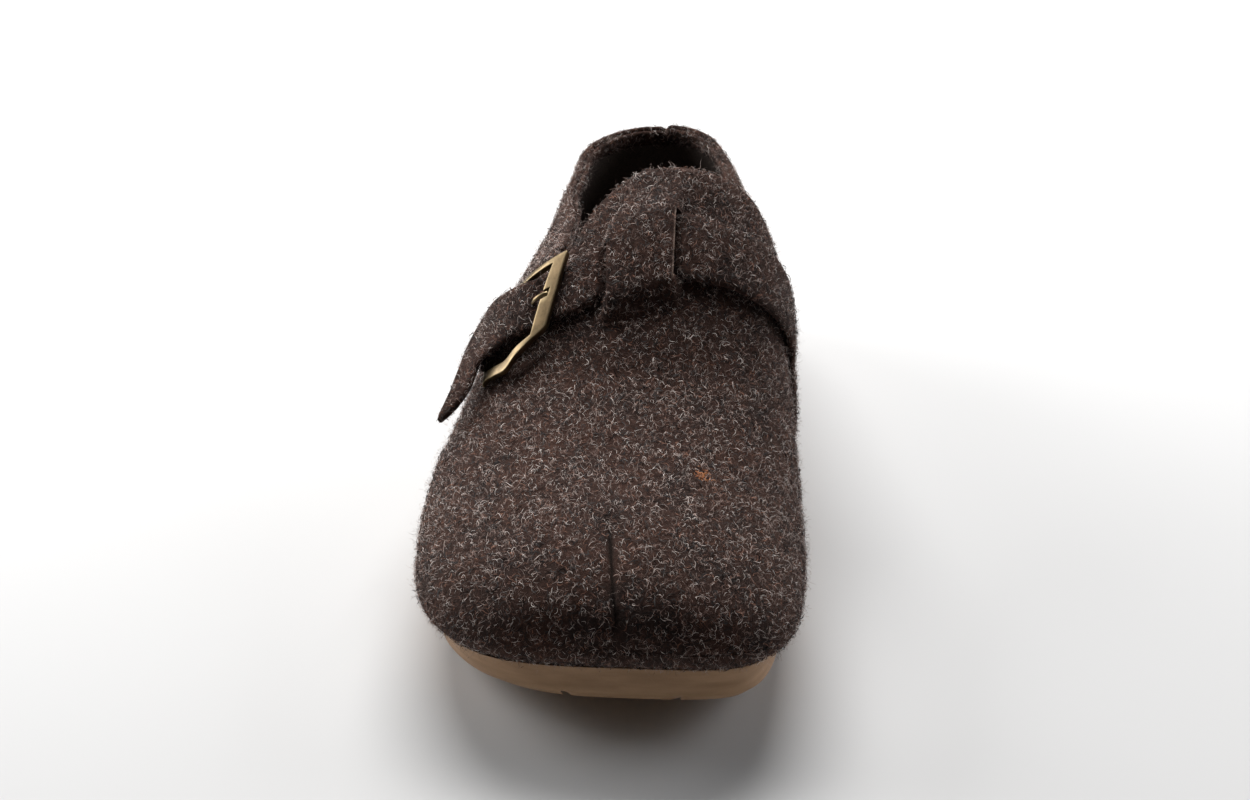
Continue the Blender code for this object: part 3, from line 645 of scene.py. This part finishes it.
base = add(tree, "ShaderNodeValToRGB", {"Fac": clump.outputs["Fac"]})
base.color_ramp.elements[0].position = 0.30
base.color_ramp.elements[0].color = linear("#0e0807")
base.color_ramp.elements[1].position = 0.78
base.color_ramp.elements[1].color = linear("#5c4037")
half_tone = base.color_ramp.elements.new(0.52)
half_tone.color = linear("#291915")
tint = add(tree, "ShaderNodeValToRGB", {"Fac": cloud.outputs["Fac"]})
tint.color_ramp.elements[0].position = 0.35
tint.color_ramp.elements[0].color = linear("#2b211f")
tint.color_ramp.elements[1].position = 0.68
tint.color_ramp.elements[1].color = linear("#52352a")
clouded = add(tree, "ShaderNodeMix", {0: 0.35, 6: base.outputs["Color"], 7: tint.outputs["Color"]},
              data_type="RGBA")
thread = add(tree, "ShaderNodeMapRange", {"Value": curl.outputs["Fac"], "From Min": 0.56, "From Max": 0.72,
                                          "To Max": 0.55})
fibred = add(tree, "ShaderNodeMix", {0: thread.outputs["Result"], 6: clouded.outputs[2],
                                     7: linear("#7a665e")}, data_type="RGBA")
# Painted shade: the crease of the dart is darkened towards near black.
dart_painted_shade = add(tree, "ShaderNodeAttribute", attribute_name="dart_painted_shade")
shaded = add(tree, "ShaderNodeMix", {0: dart_painted_shade.outputs["Fac"], 6: fibred.outputs[2], 7: linear("#120c0a")},
             data_type="RGBA")
# Painted highlight: a paler line along the lit cut edge of one slit.
cut = add(tree, "ShaderNodeAttribute", attribute_name="cut")
edged = add(tree, "ShaderNodeMix", {0: cut.outputs["Fac"], 6: shaded.outputs[2], 7: linear("#8f7b70")},
            data_type="RGBA")
tree.links.new(edged.outputs[2], shader.inputs["Base Color"])
depth = add(tree, "ShaderNodeMath", {0: clump.outputs["Fac"], 1: curl.outputs["Fac"]}, operation="ADD")
nap = add(tree, "ShaderNodeBump", {"Height": depth.outputs[0], "Strength": 0.8, "Distance": 0.0006})
tree.links.new(nap.outputs["Normal"], shader.inputs["Normal"])
shader.inputs["Roughness"].default_value = 0.95
shader.inputs["Specular IOR Level"].default_value = 0.12
shader.inputs["Sheen Weight"].default_value = 0.12
shader.inputs["Sheen Roughness"].default_value = 0.55
shader.inputs["Sheen Tint"].default_value = linear("#b9a89c")

# Strength of the painted dart shade and of the painted slit-edge highlight, and how near the edge the
# highlight reaches.
DART_SHADE_DARK, SLIT_EDGE_HIGHLIGHT, SLIT_HIGHLIGHT_NEAR = 0.85, 0.8, 0.0016
upper = new_piece("upper_felt", shell.reshape(-1, 3), faces, wool)
upper.data.materials.append(lining)
upper.data.polygons.foreach_set("material_index", [int(v) for v in lined])
# Painted shade in the dart, on the outer face only.
dark = np.zeros((count, rows))
dark[:, :rows_out] = DART_SHADE_DARK * sharp
upper.data.attributes.new("dart_painted_shade", "FLOAT", "POINT").data.foreach_set("value", dark.ravel())
# Painted highlight along the first edge of the second slit, over its rows on the outer face.
pale = np.zeros((count, rows))
pale[abs(ks - SLITS[1][0]) < SLIT_HIGHLIGHT_NEAR, outer_low:outer_low + SLIT_ROWS] = SLIT_EDGE_HIGHLIGHT
upper.data.attributes.new("cut", "FLOAT", "POINT").data.foreach_set("value", pale.ravel())
face_out(upper)
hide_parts("upper")
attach(upper, "root")
felt_skins = []


def keep_skin(piece, amount):
    """Notes the outer faces of a felt piece, in millimetres, for the nap that grows on them."""
    mesh = piece.data
    points = np.array([v.co for v in mesh.vertices]) / MM
    quads = np.array([f.vertices[:] for f in mesh.polygons[:amount] if f.material_index == 0])
    normals = np.array([f.normal for f in mesh.polygons[:amount] if f.material_index == 0])
    felt_skins.append((points, quads, normals))


keep_skin(upper, len(faces))

# Strap: a band of the same felt, sewn low on the inner side. It dips through the slits, passes under the
# buckle's wide bar, arches over its hinge and ends in a rounded free tip. Its sewn end is pressed flat.
STRAP_THICK, STRAP_END = 2.6, 175.3
SEWN_IN, SEWN_TO, SEWN_EASE = 1.2, 36.0, 14.0
TAIL_FROM, TAIL_TAPER = 150.0, 0.06
TIP_FROM, TIP_RUN, TIP_SHARE = 168.3, 7.01, 0.72


def felt(k, z, off):
    """Point of the upper pushed along its own normal."""
    k, z, off = np.broadcast_arrays(*(np.asarray(a, float) for a in (k, z, off)))
    dk, dz = 0.004, 0.6
    round_shoe = last_point(k + dk, z) - last_point(k - dk, z)
    upwards = last_point(k, z + dz) - last_point(k, z - dz)
    n = np.cross(round_shoe, upwards)
    n /= np.linalg.norm(n, axis=-1, keepdims=True) + 1e-12
    return last_point(k, z) + ASIDE + off[..., None] * n


def strap_space(run, across, off):
    """Point over the felt at a run along the strap, a share of its half width and a height."""
    table = np.array(STRAP)
    run, across, off = np.broadcast_arrays(*(np.asarray(a, float) for a in (run, across, off)))
    kf, zf, kr, zr = (through(run, table[:, (0, c)]) for c in (1, 2, 3, 4))
    t = (across + 1) / 2
    return felt(kf + (kr - kf) * t, zf + (zr - zf) * t, off)


def strap_under(run):
    """Height of the strap's lower face over the felt."""
    return through(run, np.array(STRAP)[:, (0, 5)])


def tube_faces(rings, ring):
    """Faces of a closed tube of rings of points, its two ends last."""
    faces = [(i * ring + j, i * ring + (j + 1) % ring, (i + 1) * ring + (j + 1) % ring, (i + 1) * ring + j)
             for i in range(rings - 1) for j in range(ring)]
    faces.append(tuple(range(ring))[::-1])
    faces.append(tuple(range((rings - 1) * ring, rings * ring)))
    return faces


runs = np.concatenate([np.linspace(0, 84, 56, endpoint=False), np.linspace(84, 116, 44, endpoint=False),
                       np.linspace(116, 165, 48, endpoint=False),
                       STRAP_END - (STRAP_END - 165) * np.linspace(1, 0, 22) ** 2])
tip = np.sqrt(np.clip(1 - np.clip((runs - TIP_FROM) / TIP_RUN, 0, 1) ** 2.2, 0, 1))
taper = 1 - TAIL_TAPER * ease((runs - TAIL_FROM) / 20)
taper = taper * (TIP_SHARE + (1 - TIP_SHARE) * tip)
turn = np.linspace(0, 2 * np.pi, 36, endpoint=False)
wide = np.sign(np.cos(turn)) * abs(np.cos(turn)) ** 0.28
tall = np.sign(np.sin(turn)) * abs(np.sin(turn)) ** 0.75
under = strap_under(runs) - SEWN_IN * ease((SEWN_TO - runs) / SEWN_EASE)
band = strap_space(runs[:, None], wide * taper[:, None], under[:, None] + STRAP_THICK * (0.5 + 0.5 * tall))
out = band - band.mean(1, keepdims=True)
out /= np.linalg.norm(out, axis=-1, keepdims=True) + 1e-12
STRAP_LUMPS, LUMPS_AWAY = 0.5, 300.0
band = band + STRAP_LUMPS * lumps(band + LUMPS_AWAY)[..., None] * out
faces = tube_faces(len(runs), len(turn))
strap = new_piece("strap_felt", band.reshape(-1, 3), faces, wool)
face_out(strap)
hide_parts("strap")
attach(strap, "root")
keep_skin(strap, len(faces) - 2)

# Buckle frame: cast brass, a wide bar with a notch for the prong, two slim arms that curve down to the
# hinge bar. The bar lies over the strap, the hinge under it. Edges are tumbled round.
BAR_START, BAR_NOTCH, BAR_END = 126.2, 128.6, 130.8
HINGE_START, HINGE_END = 156.2, 158.2
FRAME_IN, FRAME_OUT = 1.10, 1.34
ARM_BOW, ARM_SKEW, ARM_TUCK, REAR_BOW = 0.38, 0.55, 0.14, 0.3
FRAME_THICK, HINGE_THICK = 2.0, 1.6
PRONG_NOTCH = 0.16
BAR_LOW, HINGE_LOW = OVER + STRAP_THICK + 0.6, 1.5
stops = (BAR_START, BAR_NOTCH, BAR_END, 136.5, 141.5, 146.5, 151.5, HINGE_START, HINGE_END)
runs = between(stops, 4)
across = between((-FRAME_OUT, -FRAME_IN, -0.6, -PRONG_NOTCH, PRONG_NOTCH, 0.6, FRAME_IN, FRAME_OUT), 2)
fall = ease((runs - BAR_END) / (HINGE_START - BAR_END))
base = BAR_LOW + (HINGE_LOW - BAR_LOW) * fall
thick = FRAME_THICK + (HINGE_THICK - FRAME_THICK) * fall
share = np.clip((runs - BAR_START) / (HINGE_END - BAR_START), 0, 1)
bow = ARM_BOW * np.sin(np.pi * share ** ARM_SKEW) - ARM_TUCK * share ** 2
grid = np.tile(across, (len(runs), 1))
grid[:, across < -FRAME_IN + 0.01] -= bow[:, None]
grid[:, across > FRAME_IN - 0.01] += REAR_BOW * bow[:, None]
block = np.stack([strap_space(runs[:, None], grid, (base + thick * t)[:, None]) for t in (0, 0.5, 1)], 2)
present = np.ones((len(runs) - 1, len(across) - 1, 2), bool)
run_mid = (runs[:-1] + runs[1:]) / 2
across_mid = (across[:-1] + across[1:]) / 2
window = (run_mid > BAR_END) & (run_mid < HINGE_START)
present[np.ix_(window, abs(across_mid) < FRAME_IN)] = False
present[np.ix_((run_mid > BAR_NOTCH) & (run_mid < BAR_END), abs(across_mid) < PRONG_NOTCH, [1])] = False
points, faces = cells(block, present)

# Antique brass, cast and tumbled: warm satin gold on the worn edges, browner in the hollows, with a fine
# grain left by the tumbling.
GRAIN_MM, TARNISH_MM = 0.35, 3.5
brass, tree, shader = new_material("cast_antique_brass")
place = add(tree, "ShaderNodeTexCoord")
grain = add(tree, "ShaderNodeTexNoise", {"Vector": place.outputs["Object"], "Scale": 1 / (GRAIN_MM * MM),
                                         "Detail": 3.0, "Roughness": 0.6})
tarnish = add(tree, "ShaderNodeTexNoise", {"Vector": place.outputs["Object"], "Scale": 1 / (TARNISH_MM * MM),
                                           "Detail": 5.0, "Roughness": 0.65})
gold = add(tree, "ShaderNodeValToRGB", {"Fac": tarnish.outputs["Fac"]})
gold.color_ramp.elements[0].position = 0.32
gold.color_ramp.elements[0].color = linear("#4d412f")
gold.color_ramp.elements[1].position = 0.66
gold.color_ramp.elements[1].color = linear("#6f5e46")
wear_and_bounce_light = add(tree, "ShaderNodeNewGeometry")
edge = add(tree, "ShaderNodeMapRange", {"Value": wear_and_bounce_light.outputs["Pointiness"], "From Min": 0.50,
                                        "From Max": 0.62})
bright = add(tree, "ShaderNodeMix", {0: edge.outputs["Result"], 6: gold.outputs["Color"],
                                     7: linear("#c6b28a")}, data_type="RGBA")
tree.links.new(bright.outputs[2], shader.inputs["Base Color"])
rough = add(tree, "ShaderNodeMapRange", {"Value": tarnish.outputs["Fac"], "To Min": 0.45, "To Max": 0.26})
tree.links.new(rough.outputs["Result"], shader.inputs["Roughness"])
pitted = add(tree, "ShaderNodeBump", {"Height": grain.outputs["Fac"], "Strength": 0.25, "Distance": 0.0001})
tree.links.new(pitted.outputs["Normal"], shader.inputs["Normal"])
shader.inputs["Metallic"].default_value = 1.0

buckle = new_piece("buckle_brass", points, faces, brass)
face_out(buckle)
soften(buckle, 0.42)
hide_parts("buckle_frame")
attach(buckle, "root")

# Prong: brass wire, its eye closed round the hinge bar. It comes up through a hole in the strap and its
# flattened tip lies in the notch of the wide bar.
# Its route is given as run along the strap and height over the felt, from the tip to the eye.
PRONG_THICK, PRONG_EYE, EYE_RUN, EYE_STEPS, EYE_THICK = 1.5, 1.75, 1.9, 16, 1.0
PRONG_WIDE, PRONG_FLAT = 1.15, 0.85
PRONG = ((128.9, 5.3), (130.2, 5.6), (131.6, 5.75), (132.9, 5.5), (134.2, 4.6), (135.6, 3.2), (137.2, 1.9),
         (139.5, 1.3), (146.0, 1.4), (152.0, 1.9))
route = [strap_space(r, 0.0, h) for r, h in PRONG]
hinge_run = 0.5 * (HINGE_START + HINGE_END)
for a in np.radians(np.linspace(190, 520, EYE_STEPS)):
    eye_height = HINGE_LOW + HINGE_THICK / 2 + PRONG_EYE * np.sin(a) * 0.95
    route.append(strap_space(hinge_run + EYE_RUN * np.cos(a), 0.0, eye_height))
route = np.array(route)
ahead = np.gradient(route, axis=0)
ahead /= np.linalg.norm(ahead, axis=1, keepdims=True)
side_runs = np.array([r for r, h in PRONG] + [hinge_run] * EYE_STEPS)
side = strap_space(side_runs, 0.1, 3.0) - strap_space(side_runs, -0.1, 3.0)
side -= (side * ahead).sum(1, keepdims=True) * ahead
side /= np.linalg.norm(side, axis=1, keepdims=True)
lift_dir = np.cross(ahead, side)
radius = np.full(len(route), PRONG_THICK / 2)
radius[:2] = (0.55, 0.68)
radius[len(PRONG):] = EYE_THICK / 2
turn = np.linspace(0, 2 * np.pi, 14, endpoint=False)
section = (PRONG_WIDE * np.cos(turn)[None, :, None] * side[:, None]
           + PRONG_FLAT * np.sin(turn)[None, :, None] * lift_dir[:, None])
wire = route[:, None] + radius[:, None, None] * section
faces = tube_faces(len(route), len(turn))
prong = new_piece("prong_brass", wire.reshape(-1, 3), faces, brass)
face_out(prong)
smooth_wire = prong.modifiers.new("smooth_wire", "SUBSURF")
smooth_wire.levels = 1
smooth_wire.render_levels = 1
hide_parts("buckle_prong")
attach(prong, "root")

# Tab: a short loop of felt round the hinge bar at both sides of the prong, sewn flat to the upper under
# the strap. Its sewn end is pressed into the felt.
TAB_HALF, TAB_SLOT = 0.66, 0.18
TAB_START, BORE_START, BORE_END, LOOP_END, FLAT_START, TAB_END = 154.9, 155.85, 158.55, 159.5, 161.0, 171.0
TAB_IN, TAB_LEVELS = 1.3, (0.35, 1.15, 3.45, 4.05)
stops = (TAB_START, BORE_START, BORE_END, LOOP_END, FLAT_START, 166.0, TAB_END)
runs = between(stops, 3)
across = between((-TAB_HALF, -TAB_SLOT, TAB_SLOT, TAB_HALF), 3)
pressed = TAB_IN * ease((runs - LOOP_END) / 3)[:, None]
loop = np.stack([strap_space(runs[:, None], across, h - pressed) for h in TAB_LEVELS], 2)
run_mid = (runs[:-1] + runs[1:]) / 2
across_mid = (across[:-1] + across[1:]) / 2
fold = np.zeros((len(runs) - 1, len(across) - 1, 3), bool)
limbs = abs(across_mid) > TAB_SLOT
fold[np.ix_(run_mid < LOOP_END, limbs)] = True
fold[np.ix_((run_mid > BORE_START) & (run_mid < BORE_END), limbs, [1])] = False
fold[np.ix_((run_mid > LOOP_END) & (run_mid < FLAT_START), limbs, [0])] = True
fold[run_mid > FLAT_START, :, 0] = True
points, faces = cells(loop, fold)
tab = new_piece("tab_felt", points, faces, wool)
face_out(tab)
soften(tab, 0.25, 2)
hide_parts("buckle_tab")
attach(tab, "root")
keep_skin(tab, len(faces))

# Nap: single wool fibres that stand out of the felt of upper, strap and tab, curled and crossing each
# other. They are loose ends of the felt itself. Five shades of fleece and one rusty fleck, each one joined
# mesh of thin ribbons. None grow in the dart, where the felt is pinched shut.
chance = np.random.default_rng(7)
corners = np.concatenate([points[quads] for points, quads, normals in felt_skins])
triangles = np.concatenate([corners[:, (0, 1, 2)], corners[:, (0, 2, 3)]])
facing = np.concatenate([normals for points, quads, normals in felt_skins] * 2)
area = np.linalg.norm(np.cross(triangles[:, 1] - triangles[:, 0], triangles[:, 2] - triangles[:, 0]), axis=1)
DART_CLEAR = 0.84
area = area * (dart_share(triangles.mean(1))[1] < DART_CLEAR)
FIBRE_POINTS, ROOT_DEEP, LEAN = 6, 0.06, 0.3


def wool_fibres(name, count, length, thick, lift, bend, skin, near=None):
    """Joined ribbons on the felt, with the length range, thickness, lift and bend of a fibre.

    They shade like the felt they lie on, so each takes its normal with a little lean. With near, a point
    and a reach, they grow there only.
    """
    weight = area
    if near is not None:
        weight = area * np.exp(-((triangles.mean(1) - near[0]) ** 2).sum(1) / near[1] ** 2)
    pick = chance.choice(len(triangles), count, p=weight / weight.sum())
    share = np.sqrt(chance.random((count, 1)))
    split = chance.random((count, 1))
    tri = triangles[pick]
    root = tri[:, 0] * (1 - share) + tri[:, 1] * share * (1 - split) + tri[:, 2] * share * split
    up = facing[pick]
    along = np.cross(up, chance.normal(size=(count, 3)))
    along /= np.linalg.norm(along, axis=1, keepdims=True)
    cross = np.cross(up, along)
    t = np.linspace(0, 1, FIBRE_POINTS)[None, :, None]
    size = chance.uniform(length[0], length[1], (count, 1, 1))
    turn = chance.normal(0, bend, (count, 1, 1))
    turn = np.where(abs(turn) < 0.2, 0.2, turn)
    heading = turn * (t - 0.5) + chance.normal(0, 0.5, (count, 1, 1)) * np.sin(2 * np.pi * t)
    step = size / (FIBRE_POINTS - 1)
    forward = np.cumsum(np.cos(heading) * step, axis=1) - size / 2
    sideways = np.cumsum(np.sin(heading) * step, axis=1)
    sideways = sideways - sideways.mean(1, keepdims=True)
    stand = chance.random((count, 1, 1)) ** 2.5
    arch = chance.uniform(0.25, 1.0, (count, 1, 1)) * np.sin(np.pi * t)
    rise = lift * (arch * (1 - stand) + stand * 1.6 * t) - ROOT_DEEP
    path = root[:, None] + forward * along[:, None] + sideways * cross[:, None] + rise * up[:, None]
    flat = -np.sin(heading) * along[:, None] + np.cos(heading) * cross[:, None]
    tilt = chance.normal(0, 0.45, (count, 1, 1))
    flat = np.cos(tilt) * flat + np.sin(tilt) * up[:, None]
    half = 0.5 * thick * chance.uniform(0.7, 1.3, (count, 1, 1))
    half = half * (0.35 + 0.65 * np.sin(np.pi * (0.08 + 0.84 * t)))
    ribbon = np.stack([path - half * flat, path + half * flat], 2).reshape(-1, 3)
    first = (np.arange(count)[:, None] * FIBRE_POINTS + np.arange(FIBRE_POINTS - 1)[None]).ravel() * 2
    quads = np.stack([first, first + 2, first + 3, first + 1], 1)
    tuft = new_piece(name, ribbon, quads.tolist(), skin)
    lean = up + LEAN * chance.normal(size=(count, 3))
    lean /= np.linalg.norm(lean, axis=1, keepdims=True)
    tuft.data.normals_split_custom_set_from_vertices(np.repeat(lean, 2 * FIBRE_POINTS, axis=0).tolist())
    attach(tuft, "root")
    return tuft


FIBRE_TONE_MM = 2.2


def fibre_material(name, deep, pale):
    """Wool fibre: dull with a faint glint, and each one a little different in tone."""
    skin, tree, shader = new_material(name)
    place = add(tree, "ShaderNodeTexCoord")
    each = add(tree, "ShaderNodeTexNoise", {"Vector": place.outputs["Object"],
                                            "Scale": 1 / (FIBRE_TONE_MM * MM), "Detail": 2.0})
    shade = add(tree, "ShaderNodeValToRGB", {"Fac": each.outputs["Fac"]})
    shade.color_ramp.elements[0].position = 0.36
    shade.color_ramp.elements[0].color = linear(deep)
    shade.color_ramp.elements[1].position = 0.64
    shade.color_ramp.elements[1].color = linear(pale)
    tree.links.new(shade.outputs["Color"], shader.inputs["Base Color"])
    shader.inputs["Roughness"].default_value = 0.7
    shader.inputs["Specular IOR Level"].default_value = 0.3
    return skin


# Shades: name, how many, length range, thickness, lift, bend, darkest and palest colour.
SHADES = (("wool_white", 18500, (1.1, 3.0), 0.085, 0.95, 4.2, "#b09f97", "#eae0d9"),
          ("wool_grey", 18000, (1.0, 3.0), 0.10, 0.80, 3.8, "#6b544c", "#a0877d"),
          ("wool_brown", 14000, (1.0, 3.0), 0.14, 0.60, 3.0, "#52352a", "#8a5f4b"),
          ("wool_dark", 13500, (1.4, 3.6), 0.26, 0.75, 2.2, "#0d0807", "#221815"),
          ("wool_fuzz", 11000, (1.6, 3.8), 0.065, 2.2, 2.8, "#78645c", "#bbaaa2"))
for name, amount, reach, thick, lift, bend, deep, pale in SHADES:
    wool_fibres(name, amount, reach, thick, lift, bend, fibre_material(name + "_fibre", deep, pale))
FLECK_AT, FLECK_REACH = (26.6, -79.6, 53.2), 1.6
rusty = fibre_material("wool_fleck_fibre", "#8a4f2a", "#c07a45")
wool_fibres("wool_fleck", 60, (1.0, 2.4), 0.2, 0.5, 1.8, rusty, (np.array(FLECK_AT), FLECK_REACH))
